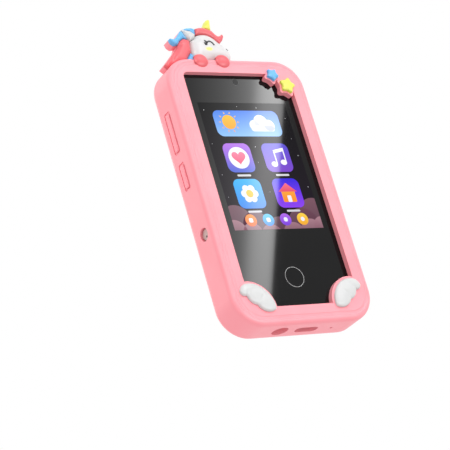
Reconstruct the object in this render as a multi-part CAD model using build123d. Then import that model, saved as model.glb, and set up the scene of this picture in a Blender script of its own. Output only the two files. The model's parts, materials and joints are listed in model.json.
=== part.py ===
from build123d import *
import os
from math import cos, radians, sin

os.makedirs("parts", exist_ok=True)

# Toy phone in a soft unicorn case. Millimetres. +X right and +Z up, seen from the screen side.
# The screen faces -Y. The origin is the centre of the case's flat bottom face.

# ---- soft case
case_width = 66.9
case_height = 118.8
case_depth = 15.7
case_corner = 12.5
side_wall = 2.4
front_edge_r = 2.6
back_edge_r = 2.8
groove_inset = 2.75
groove_r = 1.3
groove_depth = 0.4
window_width = 52.4
window_height = 104.4
window_corner = 2.5
window_bottom = 7.4
lip_depth = 2.42
back_panel = 1.6
back_rim_depth = 1.5
back_rim_width = 6.0
back_rim_corner = 7.0

# ---- clearances
case_fit = 0.1
glue_gap = 0.05
key_clearance = 0.15
running_gap = 0.45

# ---- phone shells
shell_wall = 1.5
shell_back = 1.2
frame_depth = 4.4
frame_plate = 0.9
frame_ledge = 1.2
glass_thickness = 1.1
glass_fit = 0.15

# ---- display: 2.8 inch panel
active_width = 43.2
active_height = 57.6
active_bottom = 41.4
panel_margin = 3.4
panel_tail = 8.2
panel_thickness = 0.9
backlight_thickness = 1.5

# ---- electronics
board_thickness = 1.0
board_y = 1.6
board_side_gap = 0.5
battery_width = 34.0
battery_height = 40.0
battery_thickness = 4.0
battery_bottom = 21.5
# x, z, width, height and thickness of each part on the board
chip_sizes = (
    (-8.0, 84.0, 10.0, 10.0, 0.9), (6.0, 84.0, 8.0, 6.0, 0.8), (-8.0, 72.0, 6.0, 5.0, 0.8),
    (8.0, 72.0, 5.0, 5.0, 0.8),
)
shield_size = (-8.0, 100.0, 20.0, 12.0, 1.6)
card_slot_size = (-18.5, 12.5, 7.0, 9.0, 1.5)
battery_connector_size = (0.0, 64.5, 6.0, 3.0, 1.5)
microphone_size = (4.0, 3.0, 1.1)
front_camera_half = 3.0
front_camera_z = 108.6
flex_width = 14.0
flex_length = 9.0
flex_thickness = 0.2
screw_r = 0.8
screw_head_r = 1.5
screw_head_height = 0.7
screw_inset = 5.8
boss_r = 2.2

# ---- ports on the bottom
jack_x = -10.6
jack_bore_r = 1.8
jack_body_r = 3.0
jack_length = 12.0
jack_hole_r = 3.5
usb_x = 2.0
usb_width = 9.0
usb_height = 3.2
usb_length = 7.3
usb_hole_width = 10.7
usb_hole_height = 4.4
usb_wall = 0.4
mic_x = 14.2
mic_hole_r = 0.6

# ---- keys and torch on the left side, speaker on the right
key_y = 0.6
key_width = 2.5
volume_z = 87.9
volume_length = 16.8
power_z = 68.4
power_length = 10.0
pad_proud = 0.35
pad_recess = 0.4
pad_margin = 0.9
pad_corner = 0.6
recess_corner = 1.0
pad_crown_r = 0.45
rocker_gap = 0.5
press_gap = 0.3
stem_thickness = 1.8
flange_thickness = 0.85
flange_reach = 1.0
switch_body = 3.0
switch_plunger = 0.3
switch_offset = 5.5
torch_z = 42.0
torch_y = -1.15
torch_hole_r = 2.75
torch_lens_r = 2.2
torch_lens_sunk = 0.9
torch_led_depth = 2.0
slot_count = 8
slot_pitch = 2.386
slot_width = 1.0
slot_length = 3.0
slot_y = 3.0
slot_low_z = 18.1
speaker_width = 11.2
speaker_height = 19.0
gasket_thickness = 0.6

# ---- lanyard slots in the lower right corner
lanyard_length = 3.0
lanyard_height = 2.2
lanyard_y = 0.65
lanyard_angles = (-32.0, -61.0)

# ---- rear camera window
camera_ring_width = 26.4
camera_ring_height = 28.1
camera_ring_corner = 8.0
camera_ring_band = 2.0
camera_ring_thickness = 0.5
camera_window_x = 14.6
camera_top_inset = 2.75
camera_plate = 0.8
camera_plate_margin = 1.0
lens_x = 8.7
lens_drop = 8.3
lens_r = 1.6
flash_x = 20.4
flash_drop = 19.8

# ---- figures moulded in other colours
head_back_y = 1.45
head_split_y = -2.0
hair_front_y = -4.6
face_front_y = -5.9
hoof_x = (-15.6, -4.9)
hoof_half = (3.5, 2.2, 3.2)
wing_thickness = 1.7
star_thickness = 1.6
star_waist = 0.62
star_rounding = 0.17
star_web = 1.2
blue_star_inset = (8.7, 0.8)
yellow_star_inset = (2.7, 5.8)
left_wing_shift = (-0.5, -0.7)
right_wing_shift = (-1.0, -0.7)
wing_web_margin = 0.9
relief_height = 1.9
blue_star_r = 3.3
yellow_star_r = 4.1
back_star_upper_r = 4.4
back_star_lower_r = 3.3

# ---- worked out from the sizes above
front_y = -case_depth / 2
back_y = case_depth / 2
glass_y = front_y + lip_depth
panel_out_y = back_y - back_rim_depth
panel_in_y = panel_out_y - back_panel
half_width = case_width / 2
inner_x = half_width - side_wall
phone_x = inner_x - case_fit
phone_low = side_wall + case_fit
phone_high = case_height - side_wall - case_fit
phone_width = 2 * phone_x
phone_height = phone_high - phone_low
phone_mid = (phone_high + phone_low) / 2
phone_corner = case_corner - side_wall - case_fit
phone_front = glass_y + glue_gap
phone_back = panel_in_y - case_fit
split_y = phone_front + frame_depth
housing_in_y = phone_back - shell_back
glass_back = phone_front + glass_thickness
plate_front = split_y - frame_plate
window_mid = window_bottom + window_height / 2
camera_mid = case_height - camera_top_inset - camera_ring_height / 2
camera_opening_w = camera_ring_width - 2 * camera_ring_band
camera_opening_h = camera_ring_height - 2 * camera_ring_band
camera_opening_r = camera_ring_corner - camera_ring_band
lens_z = case_height - camera_top_inset - lens_drop
flash_z = case_height - camera_top_inset - flash_drop
board_back = board_y + board_thickness
wall_in_x = phone_x - shell_wall
port_y = board_y - usb_height / 2
speaker_z = slot_low_z + slot_pitch * (slot_count - 1) / 2


def slab(sketch, low_y, high_y):
    """An outline in X and Z, made solid from low_y to high_y."""
    plane = Plane(origin=(0, high_y, 0), x_dir=(1, 0, 0), z_dir=(0, -1, 0))
    return extrude(plane * sketch, amount=high_y - low_y)


def block(x, y, z):
    """A box from its low and high value on each axis."""
    centre = Pos((x[0] + x[1]) / 2, (y[0] + y[1]) / 2, (z[0] + z[1]) / 2)
    return centre * Box(x[1] - x[0], y[1] - y[0], z[1] - z[0])


def rounded(width, height, corner, x=0.0, z=0.0):
    return Pos(x, z) * RectangleRounded(width, height, corner)


def rod_x(r, x0, x1, y, z):
    return Pos((x0 + x1) / 2, y, z) * Rot(0, 90, 0) * Cylinder(r, x1 - x0)


def rod_y(r, y0, y1, x, z):
    return Pos(x, (y0 + y1) / 2, z) * Rot(90, 0, 0) * Cylinder(r, y1 - y0)


def rod_z(r, z0, z1, x, y):
    return Pos(x, y, (z0 + z1) / 2) * Cylinder(r, z1 - z0)


def bar_x(width_y, length_z, x0, x1, y, z):
    """A bar with round ends in Y and Z, from x0 to x1."""
    plane = Plane(origin=(x0, y, z), x_dir=(0, 0, 1), z_dir=(1, 0, 0))
    return extrude(plane * SlotOverall(length_z, width_y), amount=x1 - x0)


def pad_bar(width_y, length_z, corner, x0, x1, z):
    """A bar with rounded corners in Y and Z at the height of a key, from x0 to x1."""
    plane = Plane(origin=(x0, key_y, z), x_dir=(0, 0, 1), z_dir=(1, 0, 0))
    return extrude(plane * RectangleRounded(length_z, width_y, corner), amount=x1 - x0)


def bar_z(width_x, width_y, z0, z1, x, y):
    """A bar with round ends in X and Y, from z0 to z1."""
    return Pos(x, y, z0) * extrude(SlotOverall(width_x, width_y), amount=z1 - z0)


def closed_spline(points):
    """A smooth closed outline through the points."""
    return make_face(Spline(*points, periodic=True))


def outline(points):
    return make_face(Polyline(*points, close=True))


def shifted(points, dx, dz):
    return [(x + dx, z + dz) for x, z in points]


def star(x, z, tip_r, first_angle):
    """A plump five-pointed star whose tips start at first_angle."""
    points = []
    for step in range(10):
        r = tip_r * (1.0 if step % 2 == 0 else star_waist)
        angle = radians(first_angle + 36 * step)
        points.append((x + r * cos(angle), z + r * sin(angle)))
    shape = outline(points)
    return fillet(shape.vertices(), tip_r * star_rounding)


def save(name, shape):
    export_step(shape, f"parts/{name}.step")
    print(name, len(shape.solids()), round(shape.volume, 1))
    return shape


# ---------------------------------------------------------------- figures' outlines

def wing_outline():
    """A wing over the lower left window corner, which is its origin."""
    top = Spline((-3.1, 7.4), (-1.6, 9.9), (3.6, 10.5), (8.5, 7.7), (11.2, 3.2), (11.4, -0.6))
    tip = ThreePointArc((11.4, -0.6), (7.0, -1.2), (3.5, 1.7))
    middle = ThreePointArc((3.5, 1.7), (0.9, 3.1), (-0.3, 5.8))
    root = ThreePointArc((-0.3, 5.8), (-2.1, 5.9), (-3.1, 7.4))
    return make_face([top, tip, middle, root])


wing_origin_x = -window_width / 2
left_wing_place = Pos(wing_origin_x + left_wing_shift[0], window_bottom + left_wing_shift[1])
right_wing_place = Pos(right_wing_shift[0] - wing_origin_x, window_bottom + right_wing_shift[1])
left_wing_sketch = left_wing_place * wing_outline()
right_wing_sketch = right_wing_place * mirror(wing_outline(), about=Plane.YZ)
window_top = window_bottom + window_height
window_right = window_width / 2
blue_star_x, blue_star_z = window_right - blue_star_inset[0], window_top - blue_star_inset[1]
yellow_star_x, yellow_star_z = window_right - yellow_star_inset[0], window_top - yellow_star_inset[1]
blue_star_sketch = star(blue_star_x, blue_star_z, blue_star_r, -90)
yellow_star_sketch = star(yellow_star_x, yellow_star_z, yellow_star_r, 0)

face_points = [
    (-13.9, 11.5), (-11.8, 12.7), (-9.2, 13.4), (-6.5, 13.3), (-3.9, 12.3), (-2.0, 10.9),
    (0.9, 7.6), (2.6, 5.5), (2.9, 2.9), (1.7, 0.0), (-14.9, 0.0), (-15.9, 3.6), (-15.6, 7.2),
]
fringe_points = [
    (-11.0, 16.2), (-8.9, 16.8), (-6.8, 16.8), (-3.0, 15.5), (-1.8, 13.8), (-0.7, 13.0),
    (0.7, 13.3), (2.0, 14.3), (2.2, 12.6), (1.3, 11.1), (-0.9, 9.1), (-4.0, 12.2), (-6.5, 13.4),
    (-9.1, 13.6), (-11.6, 13.3),
]
ear_points = [
    (-18.2, 15.5), (-14.2, 14.9), (-11.8, 13.3), (-12.4, 11.7), (-15.1, 10.0), (-16.8, 12.0),
]
forelock_points = [
    (-18.0, 15.3), (-15.2, 16.4), (-12.9, 16.6), (-10.4, 15.9), (-11.5, 13.4), (-14.5, 10.9),
    (-16.9, 11.1), (-19.7, 9.9), (-21.1, 8.5), (-22.9, 8.2), (-24.2, 9.3), (-24.8, 11.3),
    (-22.8, 10.8), (-20.8, 12.1),
]
mane_points = [
    (-18.1, 11.4), (-14.9, 10.7), (-15.1, 5.7), (-16.5, 2.9), (-18.1, 0.0), (-23.5, -0.6),
    (-26.9, -1.6), (-29.0, -3.0), (-30.6, -1.5), (-25.5, 3.4), (-22.4, 6.5), (-20.4, 9.8),
]
patch_points = [
    (-16.5, 4.4), (-14.9, 2.5), (-15.5, 0.0), (-19.9, 0.0),
]
horn_points = [
    (-7.0, 15.9), (-3.4, 21.2), (-2.1, 21.5), (-2.0, 20.1), (-3.0, 14.6),
]


def head_outline(points, smooth=True):
    """An outline of the head, whose heights count from the top of the case."""
    placed = shifted(points, 0, case_height)
    return closed_spline(placed) if smooth else outline(placed)


def hair_outline(points):
    shape = outline(shifted(points, 0, case_height))
    return fillet(shape.vertices(), 0.3)


case_outline = rounded(case_width, case_height, case_corner, 0, case_height / 2)
over_case = Pos(0, case_height + 15) * Rectangle(80, 30)
face_sketch = head_outline(face_points) & over_case
fringe_sketch = hair_outline(fringe_points)
ear_sketch = hair_outline(ear_points) - fringe_sketch
face_sketch = face_sketch - fringe_sketch - ear_sketch
patch_sketch = outline(shifted(patch_points, 0, case_height)) - face_sketch
mane_sketch = hair_outline(mane_points) - ear_sketch - face_sketch - patch_sketch - case_outline
forelock_sketch = hair_outline(forelock_points) - ear_sketch - fringe_sketch - mane_sketch - face_sketch
horn_sketch = outline(shifted(horn_points, 0, case_height)) - fringe_sketch
head_parts = (
    face_sketch + fringe_sketch + ear_sketch + patch_sketch + mane_sketch + forelock_sketch
)
head_sketch = make_face(head_parts.faces().sort_by(SortBy.AREA)[-1].outer_wire())

relief_body_points = [
    (7.5, 65.5), (9.8, 66.0), (15.0, 63.8), (18.0, 60.5), (18.4, 56.8), (15.4, 54.6), (11.2, 53.4),
    (11.0, 50.6), (13.0, 48.4), (16.2, 47.5), (20.2, 45.8), (23.2, 42.8), (20.2, 40.6),
    (16.7, 43.1), (14.6, 42.4), (17.6, 38.4), (18.9, 34.9), (14.2, 33.9), (10.6, 36.6),
    (8.6, 30.5), (5.8, 25.6), (7.8, 21.6), (7.2, 18.6), (3.6, 18.4), (1.9, 22.0), (1.2, 16.6),
    (-3.0, 15.8), (-6.7, 20.6), (-8.4, 25.6), (-9.6, 32.5), (-8.6, 39.5), (-4.4, 44.6),
    (0.8, 48.0), (3.6, 54.2), (4.6, 61.0),
]
relief_hooves = [
    [(23.6, 43.3), (24.8, 41.4), (22.2, 38.8), (19.6, 39.9)],
    [(19.5, 35.2), (19.7, 32.0), (14.2, 31.2), (13.6, 33.6)],
    [(7.8, 18.6), (7.6, 15.6), (3.0, 15.2), (3.0, 18.0)],
    [(2.3, 15.4), (2.3, 12.8), (-2.2, 12.2), (-3.4, 15.2)],
]
relief_mane_points = [
    (9.9, 67.6), (6.6, 68.6), (2.6, 65.0), (0.6, 58.6), (0.4, 52.6), (2.4, 50.4), (5.2, 56.4),
    (6.2, 62.0),
]
relief_horn_points = [(9.6, 66.4), (12.4, 65.4), (13.4, 71.4)]
relief_tail_points = [
    (-8.6, 38.6), (-12.6, 37.0), (-16.8, 32.0), (-18.8, 26.6), (-20.8, 22.8), (-23.4, 23.2),
    (-25.6, 25.2), (-26.4, 22.6), (-24.6, 18.8), (-19.0, 16.4), (-13.6, 18.8), (-11.8, 24.0),
    (-11.6, 29.0), (-8.8, 34.0),
]


# ---------------------------------------------------------------- soft case

def edge_groove(face_y):
    """A shallow groove that runs round a face of the case, inside its rounded edge."""
    inset = groove_inset
    path_outline = rounded(case_width - 2 * inset, case_height - 2 * inset, case_corner - inset,
                           0, case_height / 2)
    outward = -1 if face_y < 0 else 1
    centre_y = face_y + outward * (groove_r - groove_depth)
    plane = Plane(origin=(0, centre_y, 0), x_dir=(1, 0, 0), z_dir=(0, -1, 0))
    path = Wire((plane * path_outline).face().outer_wire().edges())
    section = Plane(origin=path @ 0, z_dir=path % 0) * Circle(groove_r)
    return sweep(section, path=path)


def lanyard_slot(angle):
    """A slot through the rounded corner, along the corner's own radius."""
    centre_x = half_width - case_corner
    middle_r = case_corner - side_wall / 2
    x = centre_x + middle_r * cos(radians(angle))
    z = case_corner + middle_r * sin(radians(angle))
    out = Vector(cos(radians(angle)), 0, sin(radians(angle)))
    plane = Plane(origin=Vector(x, lanyard_y, z) - out * 3, x_dir=(0, 1, 0), z_dir=out)
    return extrude(plane * SlotOverall(lanyard_length, lanyard_height), amount=6)


def pad_opening(z, length):
    recess = pad_bar(key_width + 2 * pad_margin, length + 2 * pad_margin, recess_corner,
                     -half_width - 1, -half_width + pad_recess, z)
    through = pad_bar(key_width + 2 * key_clearance, length + 2 * key_clearance,
                      pad_corner + key_clearance, -half_width - 1, -inner_x + 1, z)
    return recess + through


def speaker_slots(x0, x1):
    cuts = []
    for step in range(slot_count):
        upright = bar_x(slot_width, slot_length, x0, x1, 0, 0)
        cuts.append(Pos(0, slot_y, slot_low_z + slot_pitch * step) * upright.rotate(Axis.X, 90))
    return cuts


def wing_web():
    """The web under a wing, a little outside the wing's outer edge."""
    m = wing_web_margin
    edge = Spline((-2.0, 10.2 + m), (3.9, 10.6 + m), (8.6 + m * 0.7, 7.7 + m * 0.7),
                  (11.2 + m, 3.2), (11.4 + m, -1.0))
    rest = Polyline((11.4 + m, -1.0), (11.4 + m, -3.0), (-2.0, -3.0), (-2.0, 10.2 + m))
    return make_face([edge, rest])


def corner_webs():
    """The lip grows a web under each wing and star that reaches into the window."""
    webs = left_wing_place * wing_web()
    webs += right_wing_place * mirror(wing_web(), about=Plane.YZ)
    webs += star(blue_star_x, blue_star_z, blue_star_r + star_web, -90)
    webs += star(yellow_star_x, yellow_star_z, yellow_star_r + star_web, 0)
    webs += outline([(blue_star_x, blue_star_z), (blue_star_x, window_top + 1),
                     (window_right + 1, window_top + 1), (window_right + 1, yellow_star_z),
                     (yellow_star_x, yellow_star_z)])
    return webs


def silicone_case():
    body = slab(case_outline, front_y, back_y)
    body = fillet(body.faces().sort_by(Axis.Y)[0].edges(), front_edge_r)
    body = fillet(body.faces().sort_by(Axis.Y)[-1].edges(), back_edge_r)
    body -= edge_groove(front_y)
    body -= edge_groove(back_y)
    cavity = rounded(2 * inner_x, case_height - 2 * side_wall, case_corner - side_wall,
                     0, case_height / 2)
    body -= slab(cavity, glass_y, panel_in_y)
    window = rounded(window_width, window_height, window_corner, 0, window_mid)
    body -= slab(window - corner_webs(), front_y - 1, glass_y + 1)
    recess = rounded(case_width - 2 * back_rim_width, case_height - 2 * back_rim_width,
                     back_rim_corner, 0, case_height / 2)
    body -= slab(recess, panel_out_y, back_y + 1)
    collar = rounded(camera_ring_width + 0.8, camera_ring_height + 0.8, camera_ring_corner + 0.4,
                     camera_window_x, camera_mid)
    body += slab(collar, panel_in_y, back_y - 0.2) & slab(case_outline, panel_in_y, back_y)
    seat = rounded(camera_ring_width, camera_ring_height, camera_ring_corner,
                   camera_window_x, camera_mid)
    body -= slab(seat, back_y - 0.2, back_y + 1)
    opening = rounded(camera_opening_w, camera_opening_h, camera_opening_r,
                      camera_window_x, camera_mid)
    body -= slab(opening, panel_in_y - 1, back_y + 1)
    body -= rod_z(jack_hole_r, -1, side_wall + 1, jack_x, port_y)
    body -= bar_z(usb_hole_width, usb_hole_height, -1, side_wall + 1, usb_x, port_y)
    body -= rod_z(mic_hole_r, -1, side_wall + 1, mic_x, port_y)
    body -= rod_x(torch_hole_r, -half_width - 1, -inner_x + 1, torch_y, torch_z)
    body -= pad_opening(volume_z, volume_length)
    body -= pad_opening(power_z, power_length)
    for cut in speaker_slots(inner_x - 1, half_width + 1):
        body -= cut
    for angle in lanyard_angles:
        body -= lanyard_slot(angle)
    return body


def camera_ring():
    ring = rounded(camera_ring_width, camera_ring_height, camera_ring_corner,
                   camera_window_x, camera_mid)
    ring -= rounded(camera_opening_w, camera_opening_h, camera_opening_r,
                    camera_window_x, camera_mid)
    return slab(ring, back_y - 0.2, back_y - 0.2 + camera_ring_thickness)


def unicorn_hooves():
    """Two round hooves that hang over the front edge of the case."""
    body = slab(case_outline, front_y, back_y)
    head = slab(head_sketch, hair_front_y - 2, head_back_y)
    hooves = Part()
    for x in hoof_x:
        ball = scale(Sphere(1), by=hoof_half)
        hooves += Pos(x, front_y + 0.65, case_height - 1.6) * ball - body - head
    return hooves


# ---------------------------------------------------------------- phone shells

def shell_outline(inset):
    return rounded(phone_width - 2 * inset, phone_height - 2 * inset, phone_corner - inset,
                   0, phone_mid)


def corner_places():
    """Three screws sit in corners, and the fourth just under the camera window."""
    dx = phone_x - screw_inset
    dz = phone_height / 2 - screw_inset
    under_camera = camera_mid - camera_opening_h / 2 - camera_plate_margin - screw_head_r - 1.5
    return [(-dx, phone_mid - dz), (dx, phone_mid - dz), (-dx, phone_mid + dz), (dx, under_camera)]


def side_openings():
    """Ways through the shells for the keys, torch, speaker, ports and microphone."""
    cuts = []
    for z, length in ((volume_z, volume_length), (power_z, power_length)):
        cuts.append(block((-phone_x - 1, -wall_in_x + 0.01),
                          (split_y - 0.01, key_y + key_width / 2 + key_clearance),
                          (z - length / 2 - key_clearance, z + length / 2 + key_clearance)))
    cuts.append(rod_x(torch_lens_r + 0.1, -phone_x - 1, -wall_in_x + 2.2, torch_y, torch_z))
    cuts.append(rod_z(jack_body_r + 0.15, phone_low - 1, phone_low + jack_length, jack_x, port_y))
    cuts.append(bar_z(usb_width + 0.3, usb_height + 0.3, phone_low - 1, phone_low + usb_length,
                      usb_x, port_y))
    cuts.append(rod_z(mic_hole_r, phone_low - 1, phone_low + shell_wall + 1, mic_x, port_y))
    return cuts


def mid_frame():
    """The front shell: a rim round the glass, a ledge behind it and a plate behind the display."""
    body = slab(shell_outline(0), phone_front, split_y)
    body -= slab(shell_outline(shell_wall), phone_front - 1, glass_back)
    body -= slab(shell_outline(shell_wall + frame_ledge), glass_back - 1, plate_front)
    ports = block((jack_x - 4.6, usb_x + 6.4), (plate_front - 1, split_y + 1),
                  (phone_low + shell_wall, battery_bottom - 1))
    torch = block((-wall_in_x, -wall_in_x + 5), (plate_front - 1, split_y + 1),
                  (torch_z - 2.6, torch_z + 2.6))
    body -= ports
    body -= torch
    for x, z in corner_places():
        body += rod_y(boss_r, split_y - 0.2, housing_in_y - 1.2, x, z)
    for x, z in corner_places():
        body -= rod_y(screw_r, plate_front + 0.2, housing_in_y, x, z)
    for cut in side_openings():
        body -= cut
    return body


def rear_housing():
    """The back shell: a tray with screw seats, sound slots and the camera window."""
    body = slab(shell_outline(0), split_y, phone_back)
    body -= slab(shell_outline(shell_wall), split_y - 1, housing_in_y)
    for x, z in corner_places():
        body += rod_y(boss_r, housing_in_y - 1.2, housing_in_y + 0.2, x, z)
        body -= rod_y(screw_r + 0.1, housing_in_y - 2, phone_back + 1, x, z)
        body -= rod_y(screw_head_r + 0.1, phone_back - screw_head_height, phone_back + 1, x, z)
    plate = rounded(camera_opening_w + 2 * camera_plate_margin,
                    camera_opening_h + 2 * camera_plate_margin,
                    camera_opening_r + camera_plate_margin, camera_window_x, camera_mid)
    body -= slab(plate, phone_back - camera_plate, phone_back + 1)
    hole = rounded(camera_opening_w - 1, camera_opening_h - 1, camera_opening_r - 0.5,
                   camera_window_x, camera_mid)
    body -= slab(hole, housing_in_y - 1, phone_back + 1)
    for cut in side_openings():
        body -= cut
    for cut in speaker_slots(wall_in_x - 1, phone_x + 1):
        body -= cut & block((0, phone_x + 2), (split_y, housing_in_y - 0.1), (0, case_height))
    return body


def cover_glass():
    return slab(shell_outline(shell_wall + glass_fit), phone_front, glass_back)


def display_parts():
    low_z = active_bottom - panel_tail
    high_z = active_bottom + active_height + panel_margin
    half = active_width / 2 + panel_margin
    panel = block((-half, half), (glass_back, glass_back + panel_thickness), (low_z, high_z))
    light_y = glass_back + panel_thickness
    light = block((-half, half), (light_y, light_y + backlight_thickness), (low_z, high_z))
    tail = block((-flex_width / 2, flex_width / 2), (light_y + 0.1, light_y + 0.1 + flex_thickness),
                 (low_z - flex_length, low_z - 0.01))
    return panel, light, tail


def housing_screws():
    screws = Part()
    for x, z in corner_places():
        screws += rod_y(screw_head_r, phone_back - screw_head_height, phone_back - 0.05, x, z)
        screws += rod_y(screw_r, plate_front + 0.8, phone_back - screw_head_height, x, z)
    return screws


# ---------------------------------------------------------------- electronics

battery_x = (-battery_width / 2 - 1.0, battery_width / 2 - 1.0)
battery_top = battery_bottom + battery_height


def main_board():
    """One board round three sides of the battery."""
    reach = wall_in_x - board_side_gap
    low = phone_low + shell_wall + board_side_gap
    high = phone_high - shell_wall - board_side_gap
    sheet = rounded(2 * reach, high - low, phone_corner - shell_wall - board_side_gap,
                    0, (low + high) / 2)
    sheet -= Pos((battery_x[0] + reach) / 2 + 6, (battery_top + battery_bottom) / 2) * Rectangle(
        reach - battery_x[0] + 13, battery_height + 1)
    for z, length in ((volume_z, volume_length), (power_z, power_length)):
        sheet -= Pos(-reach, z) * Rectangle(3.6, length + 3)
    sheet -= Pos(-reach, torch_z) * Rectangle(3.0, 6.0)
    speaker_x = wall_in_x - speaker_width / 2
    sheet -= Pos(speaker_x, speaker_z) * Rectangle(speaker_width + 1.0, speaker_height + 1.0)
    sheet -= Pos(jack_x, low) * Rectangle(2 * jack_body_r + 0.4, 2 * jack_length - 1)
    sheet -= Pos(lens_x, lens_z) * Rectangle(9.0, 9.0)
    for x, z in corner_places():
        sheet -= Pos(x, z) * Circle(boss_r + 0.2)
    return slab(sheet, board_y, board_back)


def on_board(x, z, width, height, thickness):
    """A part soldered on the screen side of the board."""
    return block((x - width / 2, x + width / 2), (board_y - thickness, board_y),
                 (z - height / 2, z + height / 2))


def processor_chips():
    chips = Part()
    for place_and_size in chip_sizes:
        chips += on_board(*place_and_size)
    return chips


def headphone_jack():
    body = rod_z(jack_body_r, phone_low, phone_low + jack_length, jack_x, port_y)
    return body - rod_z(jack_bore_r, phone_low - 1, phone_low + jack_length + 1, jack_x, port_y)


def usb_port():
    shell = bar_z(usb_width, usb_height, phone_low, phone_low + usb_length, usb_x, port_y)
    inside = bar_z(usb_width - 2 * usb_wall, usb_height - 2 * usb_wall,
                   phone_low - 1, phone_low + usb_length - 1, usb_x, port_y)
    tongue = block((usb_x - 3.3, usb_x + 3.3), (port_y - 0.35, port_y + 0.35),
                   (phone_low + 1, phone_low + usb_length - 0.5))
    return shell - inside + tongue


def loudspeaker():
    """A speaker box, open towards the slots in the side."""
    x0 = wall_in_x - speaker_width
    x1 = wall_in_x - gasket_thickness
    y0, y1 = split_y + 0.3, housing_in_y - 0.3
    z0, z1 = speaker_z - speaker_height / 2, speaker_z + speaker_height / 2
    body = block((x0, x1), (y0, y1), (z0, z1))
    return body - block((x0 + 1.2, x1 + 1), (y0 + 1, y1 - 1), (z0 + 1.2, z1 - 1.2))


def speaker_gasket():
    return block((wall_in_x - gasket_thickness, wall_in_x), (split_y + 0.3, housing_in_y - 0.3),
                 (speaker_z - speaker_height / 2, speaker_z + speaker_height / 2))


def rear_camera():
    body = block((lens_x - 4, lens_x + 4), (split_y + 0.3, housing_in_y - 0.4),
                 (lens_z - 4, lens_z + 4))
    return body + rod_y(lens_r + 0.6, housing_in_y - 0.4, phone_back - camera_plate - 0.05,
                        lens_x, lens_z)


def camera_cover():
    margin = camera_plate_margin - 0.1
    plate = rounded(camera_opening_w + 2 * margin, camera_opening_h + 2 * margin,
                    camera_opening_r + margin, camera_window_x, camera_mid)
    body = slab(plate, phone_back - camera_plate, phone_back)
    body -= rod_y(lens_r, phone_back - 2, phone_back + 1, lens_x, lens_z)
    return body - rod_y(0.9, phone_back - 2, phone_back + 1, flash_x, flash_z)


def camera_lens():
    return rod_y(lens_r - 0.05, phone_back - camera_plate, phone_back - 0.1, lens_x, lens_z)


def flash_led():
    return block((flash_x - 1.0, flash_x + 1.0), (board_back, phone_back - camera_plate - 0.1),
                 (flash_z - 1.0, flash_z + 1.0)) + rod_y(
        0.8, phone_back - camera_plate - 0.1, phone_back - 0.15, flash_x, flash_z)


def key(z, length, flange_half, flange_gap):
    """A hard key: a stem through the shell with a flange that holds it in."""
    stem_y = (key_y - stem_thickness / 2, key_y + stem_thickness / 2)
    half = length / 2 - key_clearance
    flange_x = -wall_in_x + flange_gap
    stem = block((-inner_x - 0.05, flange_x + flange_thickness), stem_y, (z - half, z + half))
    return stem + block((flange_x, flange_x + flange_thickness), stem_y,
                        (z - flange_half, z + flange_half))


def key_pad(z, length):
    """The soft pad that shows in the case over a key, with a rounded crown."""
    pad = pad_bar(key_width, length, pad_corner, -half_width - pad_proud, -inner_x - glue_gap, z)
    crown = pad.faces().sort_by(Axis.X)[0].edges()
    return fillet(crown, pad_crown_r)


def tactile_switch(z, gap_x):
    """A side switch on the board, with its plunger just clear of the key."""
    x0 = gap_x + running_gap
    body = block((x0 + switch_plunger, x0 + switch_plunger + switch_body),
                 (board_y - 2.0, board_y), (z - 1.75, z + 1.75))
    return body + rod_x(0.7, x0, x0 + switch_plunger + 0.2, key_y, z)


def torch():
    lens_end = -wall_in_x + 0.8
    lens = rod_x(torch_lens_r, -half_width + torch_lens_sunk, lens_end, torch_y, torch_z)
    led = block((lens_end, lens_end + torch_led_depth), (torch_y - 1.2, board_y),
                (torch_z - 1.4, torch_z + 1.4))
    return lens, led


# ---------------------------------------------------------------- everything

def save_case_and_figures():
    save("silicone_case", silicone_case())
    save("camera_ring", camera_ring())
    save("unicorn_head_back", slab(head_sketch, head_split_y, head_back_y))
    save("unicorn_face", slab(face_sketch, face_front_y, head_split_y))
    save("unicorn_ear", slab(ear_sketch, hair_front_y - 0.5, head_split_y))
    save("unicorn_fringe", slab(fringe_sketch, hair_front_y - 0.3, head_split_y))
    save("unicorn_forelock", slab(forelock_sketch, hair_front_y, head_split_y))
    save("unicorn_mane", slab(mane_sketch, hair_front_y, head_split_y))
    save("unicorn_neck_tuft", slab(patch_sketch, hair_front_y, head_split_y))
    save("unicorn_horn", slab(horn_sketch, hair_front_y + 0.2, head_split_y + 1.6))
    save("unicorn_hooves", unicorn_hooves())
    save("left_wing", slab(left_wing_sketch, front_y - wing_thickness, front_y))
    save("right_wing", slab(right_wing_sketch, front_y - wing_thickness, front_y))
    save("blue_star", slab(blue_star_sketch, front_y - star_thickness, front_y))
    save("yellow_star", slab(yellow_star_sketch, front_y - star_thickness, front_y))


def save_back_relief():
    hooves = Sketch()
    for points in relief_hooves:
        hooves += fillet(outline(points).vertices(), 0.5)
    body = closed_spline(relief_body_points) - hooves
    mane = closed_spline(relief_mane_points) - body
    tail = closed_spline(relief_tail_points) - body
    horn = outline(relief_horn_points) - body - mane
    top = panel_out_y + relief_height
    save("relief_body", slab(body, panel_out_y, top))
    save("relief_hooves", slab(hooves, panel_out_y, top - 0.2))
    save("relief_mane", slab(mane, panel_out_y, top - 0.3))
    save("relief_tail", slab(tail, panel_out_y, top))
    save("relief_horn", slab(horn, panel_out_y, top - 0.4))
    upper = star(17.2, 77.5, back_star_upper_r, 270)
    lower = star(15.3, 21.1, back_star_lower_r, 270)
    save("relief_stars", slab(upper + lower, panel_out_y, top - 0.3))


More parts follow.
